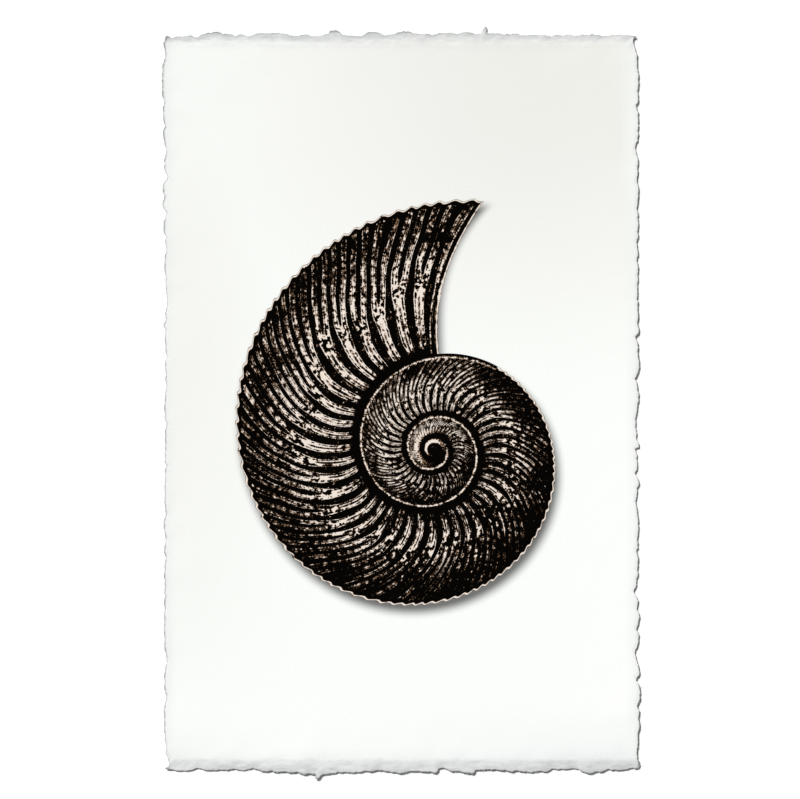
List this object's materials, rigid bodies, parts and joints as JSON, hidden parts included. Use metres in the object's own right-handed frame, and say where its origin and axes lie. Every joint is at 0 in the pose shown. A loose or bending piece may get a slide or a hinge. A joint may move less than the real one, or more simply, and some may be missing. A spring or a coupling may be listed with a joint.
{
  "type": "deckle-edged paper print",
  "caption": "Sheet of heavy handmade paper with torn, feathered edges, lying flat, with a printed figure of a coiled fossil shell on its upper face.",
  "frame": {"origin": "on the flat underside of the sheet, under the middle of its bounding box", "axes": "+X across the sheet to the right and +Y up the sheet, as the print is looked at; +Z out of the printed face"},
  "size_m": [0.2502, 0.3924, 0.0008],
  "materials": {
    "paper": "matt, unsized cotton-rag stock with a soft felt surface and a near-black and cream pigment print"
  },
  "bodies": {
    "root": {"paper_sheet": "paper"}
  },
  "joints": []
}
